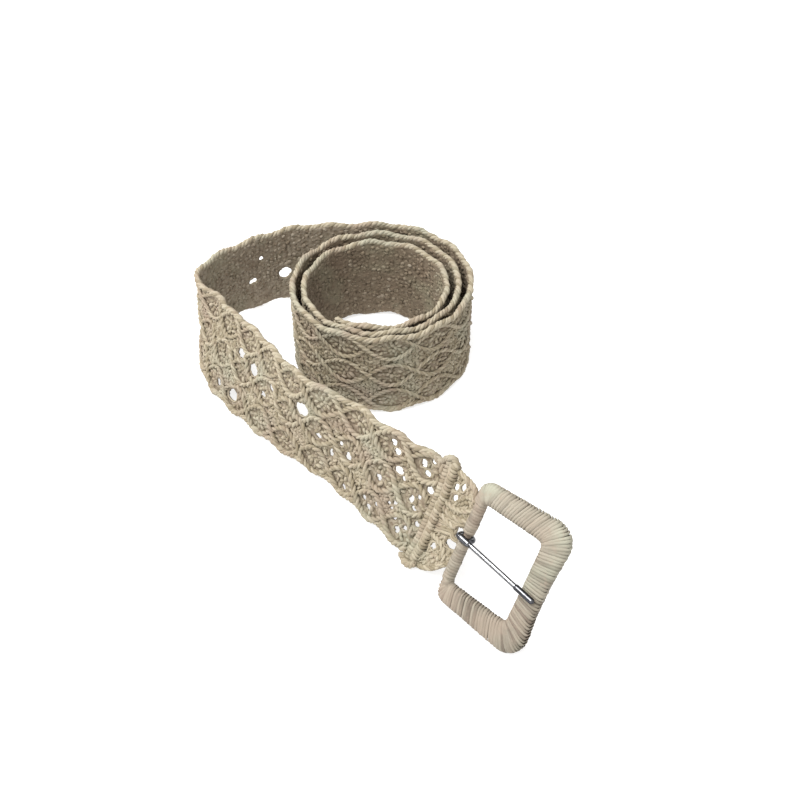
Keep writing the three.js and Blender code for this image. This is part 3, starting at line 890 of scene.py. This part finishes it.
def buckle_windings():
    piece = Piece("wound_frame")
    flat, high, *_ = section(spokes(2.4 * MM), 16, -0.6 * MM)
    core = buckle_point(flat[..., 0], flat[..., 1], high).reshape(-1, 3)
    rings = np.arange(len(core)).reshape(1, -1, 16)
    piece.add((core, skin(rings), np.zeros(len(core)), np.zeros(core.shape)))
    pitch = 1.7 * MM
    spoke = spokes(pitch)
    count = len(spoke)
    turn = np.concatenate([spoke[:, 2:] - spoke[:, :2]], -1)
    heading = unit(np.stack([turn[:, 1], -turn[:, 0]], -1))
    lean = pitch * (0.5 + 0.1 * rng.standard_normal((count, 1)))
    lift = -0.2 * MM + 0.035 * MM * np.abs(rng.standard_normal((count, 1)))
    flat, high, c, s, ray = section(spoke, 20, lift)
    bulge = 0.3 * MM * rng.random((count, 1)) * np.clip(c, 0, 1) ** 4
    flat = flat + ray[:, None] * bulge[..., None]
    skew = lean * c * np.sign(s) * 0.5 + 0.08 * MM * rng.standard_normal((count, 1))
    flat = flat + heading[:, None] * skew[..., None]
    points = buckle_point(flat[..., 0], flat[..., 1], high)
    outwards = points - points.mean(1, keepdims=True)
    wide = pitch * (0.58 + 0.08 * rng.standard_normal((count, 1)))
    split = np.clip(c, 0, 1) ** 3 * (rng.random((count, 1)) < 0.35) * rng.random((count, 1))
    wide = wide * (1 - 0.45 * split)
    # Painted light: windings towards the top of the frame get a lighter tone as a painted
    # highlight, those towards the bottom a darker tone as painted shade.
    rise = spoke[:, [1, 3]].mean(1) / (frame_height / 2)
    painted_light_by_height = 0.75 * np.clip(rise, 0, 1) ** 3 - 0.2 * np.clip(-rise, 0, 1)
    tone = np.clip(rng.random(count) + painted_light_by_height, 0, 1)
    piece.add(tubes(points, outwards, wide, 0.15 * MM, 6, closed=True, tone=tone))
    return piece


def bar_windings():
    """Slim bar, and the pale cords wound round it on both sides of the prong's slot."""
    piece = Piece("wound_bar")
    inner = frame_height / 2 - frame_side
    across = np.linspace(-inner - MM, inner + MM, 12)[None]
    nothing = np.zeros((1, 12))
    piece.add(strands(buckle_point, nothing, across, nothing, bar_radius, bar_radius, 12))
    turn_radius = sleeve_radius - 0.25 * MM
    for low, high in ((-inner + 0.4 * MM, prong_height_on_bar - slot_half),
                      (prong_height_on_bar + slot_half, inner - 0.4 * MM)):
        line = even_line(np.array([[0, low], [0, high]]), 1.5 * MM)
        piece.add(wraps(buckle_point, line, 0, turn_radius, turn_radius, cord_wide=MM,
                        cord_thick=0.25 * MM, slant=0.3 * MM, points=14, sides=6, jitter=0.04,
                        power=1))
    return piece


def lit(part, highlight_dimming=0.0):
    """Gives a part of the prong a tone for its painted reflection, by how far each corner faces up
    and out, less a set dimming of the painted highlight.
    """
    verts, quads, tone, fibre = part
    normal = np.zeros_like(verts)
    a, b, c, d = (verts[quads[:, i]] for i in range(4))
    for i in range(4):
        np.add.at(normal, quads[:, i], np.cross(c - a, d - b))
    # Painted reflection: corners that face this fixed direction get a bright tone, the sides of the
    # wire a dark one.
    facing = unit(np.array([-0.1, -0.6, 0.8]))
    return verts, quads, unit(normal) @ facing - highlight_dimming, fibre


def prong():
    """Wire looped round the bar with a thicker knuckle, and a thicker tip on the far side."""
    piece = Piece("prong_wire")
    wire = prong_wire / 2
    loop = bar_radius + piece_gap + wire
    tip_radius = prong_tip_diameter / 2
    tip_height = frame_thickness / 2 + piece_gap + tip_radius
    tip_reach = frame_reach - prong_tip_inset - tip_radius
    start = np.array([0, 0, loop])
    end = np.array([tip_reach, -math.tan(math.radians(prong_slant)) * tip_reach, tip_height])
    direction = unit(end - start)
    a = 2 * math.pi * np.arange(40) / 40
    ring = np.stack([loop * np.cos(a), 0 * a, loop * np.sin(a)], -1)[None]

    def place(p):
        return buckle_point(p[..., 0], p[..., 1] + prong_height_on_bar, p[..., 2])

    outwards = place(ring) - place(np.zeros((1, 40, 3)))
    piece.add(lit(tubes(place(ring), outwards, wire, wire, 16, closed=True), highlight_dimming=0.1))
    knuckle = 1.42 * wire
    clear = start + np.array([0, 0, 0.28 * MM])
    # Last number of each rod: how much its painted highlight is dimmed.
    rods = ((wire, start, end, 0.0),
            (knuckle, clear - direction * 1.4 * MM, clear + direction * 3.4 * MM, 0.12),
            (0.8 * knuckle, start - direction * 2.6 * MM, start + direction * 5 * MM, 0.25),
            (tip_radius, end - direction * prong_tip_length, end, 0.22))
    for radius, first, last, highlight_dimming in rods:
        run = np.linalg.norm(last - first)
        dome = np.linspace(0.05, 0.5, 7) * math.pi
        along = np.concatenate([-radius * np.cos(dome), np.linspace(0, run, 9)[1:-1],
                                run + radius * np.cos(dome[::-1])])
        size = radius * np.concatenate([np.sin(dome), np.ones(7), np.sin(dome[::-1])])
        line = (first + direction * along[:, None])[None]
        outwards = np.broadcast_to(buckle_out, (1, len(along), 3))
        piece.add(lit(tubes(place(line), outwards, size[None], size[None], 20), highlight_dimming))
    return piece


# Materials

def node(tree, kind, **values):
    made = tree.nodes.new(kind)
    for name, value in values.items():
        if hasattr(made, name):
            setattr(made, name, value)
        else:
            made.inputs[name.replace("_", " ")].default_value = value
    return made


def noise(tree, place, **values):
    made = node(tree, "ShaderNodeTexNoise", **values)
    tree.links.new(place, made.inputs["Vector"])
    return made.outputs["Fac"]


def ramp(tree, value, stops):
    """Colour of a value, through stops (value, colour)."""
    made = tree.nodes.new("ShaderNodeValToRGB")
    tree.links.new(value, made.inputs["Fac"])
    elements = made.color_ramp.elements
    while len(elements) < len(stops):
        elements.new(0.5)
    for element, (position, color) in zip(elements, stops):
        element.position = position
        element.color = (*color, 1)
    return made.outputs["Color"]


def mix(tree, kind, factor, first, second):
    """Mix of two colours; factor, first and second are sockets or values."""
    made = tree.nodes.new("ShaderNodeMix")
    made.data_type = "RGBA"
    made.blend_type = kind
    for socket, value in zip((made.inputs[0], made.inputs[6], made.inputs[7]),
                             (factor, first, second)):
        if isinstance(value, bpy.types.NodeSocket):
            tree.links.new(value, socket)
        else:
            socket.default_value = value
    return made.outputs[2]


def new_material(name):
    material = bpy.data.materials.new(name)
    material.use_nodes = True
    return material, material.node_tree, material.node_tree.nodes["Principled BSDF"]


def raffia(name, tones, roughness, green, brown, grain=(250, 3200, 900)):
    """Dry raffia: strand by strand tone, grey-green and brown patches, fine fibres."""
    material, tree, shader = new_material(name)
    link = tree.links.new
    shader.inputs["Roughness"].default_value = roughness
    shader.inputs["Specular IOR Level"].default_value = 0.25
    tone = node(tree, "ShaderNodeAttribute", attribute_name="tone").outputs["Fac"]
    fibre = node(tree, "ShaderNodeAttribute", attribute_name="fibre").outputs["Vector"]
    place = node(tree, "ShaderNodeTexCoord").outputs["Object"]
    stretch_fibre = node(tree, "ShaderNodeMapping", Scale=grain)
    link(fibre, stretch_fibre.inputs["Vector"])
    streaks = noise(tree, stretch_fibre.outputs["Vector"], Scale=1.0, Detail=3.0, Roughness=0.6)
    streak_shade = ramp(tree, streaks, [(0.3, (0.72, 0.68, 0.6)), (0.62, (1.1, 1.1, 1.1))])
    color = mix(tree, "MULTIPLY", 0.6, ramp(tree, tone, tones), streak_shade)
    for scale, hue, low, high, strength in ((38, green, 0.5, 0.68, 0.55),
                                            (52, brown, 0.52, 0.7, 0.5),
                                            (420, brown, 0.55, 0.75, 0.45)):
        patches = noise(tree, place, Scale=float(scale), Detail=2.0)
        share = ramp(tree, patches, [(low, (0, 0, 0)), (high, (strength,) * 3)])
        color = mix(tree, "MIX", share, color, (*hue, 1))
    link(color, shader.inputs["Base Color"])
    bump = node(tree, "ShaderNodeBump", Strength=0.35, Distance=0.0003)
    link(streaks, bump.inputs["Height"])
    link(bump.outputs["Normal"], shader.inputs["Normal"])
    return material


def metal():
    """Bright chrome with a painted reflection, dark on the sides of the wire and pale on its crest,
    with faint wear.
    """
    material, tree, shader = new_material("polished_metal")
    link = tree.links.new
    shader.inputs["Metallic"].default_value = 1
    tone = node(tree, "ShaderNodeAttribute", attribute_name="tone").outputs["Fac"]
    place = node(tree, "ShaderNodeTexCoord").outputs["Object"]
    wear = noise(tree, place, Scale=700.0, Detail=3.0)
    # Painted reflection: the facing tone turns dark on the sides of the wire and near-white on its
    # crest.
    shade = ramp(tree, tone, [(0.55, (0.06, 0.062, 0.07)), (0.8, (0.26, 0.265, 0.28)),
                              (0.96, (0.72, 0.75, 0.76))])
    spots = ramp(tree, wear, [(0.35, (0.6, 0.58, 0.58)), (0.6, (1, 1, 1))])
    link(mix(tree, "MULTIPLY", 1.0, shade, spots), shader.inputs["Base Color"])
    rough = ramp(tree, wear, [(0.35, (0.12, 0.12, 0.12)), (0.7, (0.26, 0.26, 0.26))])
    link(rough, shader.inputs["Roughness"])
    return material


# Stage

camera_place = (0.02099, -0.40848, 0.42902)
camera_tilt_down = 44
floor_half = 3


def add_camera():
    data = bpy.data.cameras.new("camera")
    data.lens = 49.5
    data.sensor_width = 36
    data.clip_start = 0.01
    camera = new_object("camera", data)
    camera.location = camera_place
    camera.rotation_euler = (math.radians(90 - camera_tilt_down), 0, 0)
    bpy.context.scene.camera = camera


def add_floor():
    mesh = bpy.data.meshes.new("floor")
    corners = [(-1, -1), (1, -1), (1, 1), (-1, 1)]
    mesh.from_pydata([(x * floor_half, y * floor_half, 0) for x, y in corners], [],
                     [(0, 1, 2, 3)])
    material, _, shader = new_material("floor_paint")
    shader.inputs["Base Color"].default_value = (0.5, 0.5, 0.5, 1)
    shader.inputs["Roughness"].default_value = 0.9
    shader.inputs["Emission Color"].default_value = (1, 1, 1, 1)
    shader.inputs["Emission Strength"].default_value = 0.7
    mesh.materials.append(material)
    floor = new_object("floor", mesh)


def add_area_light(name, location, target, size, power):
    data = bpy.data.lights.new(name, "AREA")
    data.size = size
    data.energy = power
    light = new_object(name, data)
    light.location = location
    direction = Vector(target) - Vector(location)
    light.rotation_euler = direction.to_track_quat("-Z", "Y").to_euler()


def add_lights():
    world = bpy.data.worlds.new("world")
    world.use_nodes = True
    background = world.node_tree.nodes["Background"]
    background.inputs["Color"].default_value = (1, 1, 1, 1)
    background.inputs["Strength"].default_value = 0.7
    bpy.context.scene.world = world
    add_area_light("softbox", (-0.3, -0.3, 1.1), (0, 0, 0), 0.7, 14)
    add_area_light("side_softbox", (-0.75, 0.35, 0.7), (0, 0, 0.03), 0.5, 6)
    bpy.context.scene.view_settings.view_transform = "Standard"


add_camera()
add_floor()
add_lights()

straw = [(0, (0.25, 0.21, 0.142)), (0.5, (0.345, 0.298, 0.216)), (1, (0.42, 0.372, 0.28))]
pale_straw = [(0, (0.17, 0.14, 0.11)), (0.25, (0.255, 0.225, 0.18)), (1, (0.335, 0.3, 0.24))]
# Painted shade: darker straw for the web sheet that shows in the crevices between the knots; the
# inner face and its knot loops use it too.
crevice_shaded_straw = [(0, (0.1, 0.075, 0.05)), (0.5, (0.22, 0.175, 0.125)), (1, (0.4, 0.35, 0.28))]
grey_green = (0.36, 0.36, 0.28)
pink_brown = (0.31, 0.23, 0.18)
knotted = raffia("knotted_raffia", straw, 0.85, grey_green, pink_brown)
packed = raffia("packed_raffia_painted_shade", crevice_shaded_straw, 0.9, (0.26, 0.24, 0.165), (0.18, 0.13, 0.09),
                (900, 900, 900))
wound = raffia("wound_raffia", pale_straw, 0.7, (0.4, 0.415, 0.32), (0.34, 0.265, 0.205))

band_web().build(packed, "knotted_raffia", "band")
for row in range(row_count):
    lattice_ribs(row).build(knotted, "knotted_raffia", "band")
inner_knots().build(packed, "knotted_raffia", "band")
edge_ropes().build(knotted, "knotted_raffia", "band")
for cell_piece in fill_cells():
    cell_piece.build(knotted, "knotted_raffia", "band")
crossbar().build(knotted, "knotted_raffia", "crossbar")
tab().build(knotted, "knotted_raffia", "end_tab")
buckle_windings().build(wound, "wound_raffia", "buckle_frame")
bar_windings().build(wound, "wound_raffia", "end_tab", "buckle_frame")
prong().build(metal(), "polished_metal", "prong", body="prong")
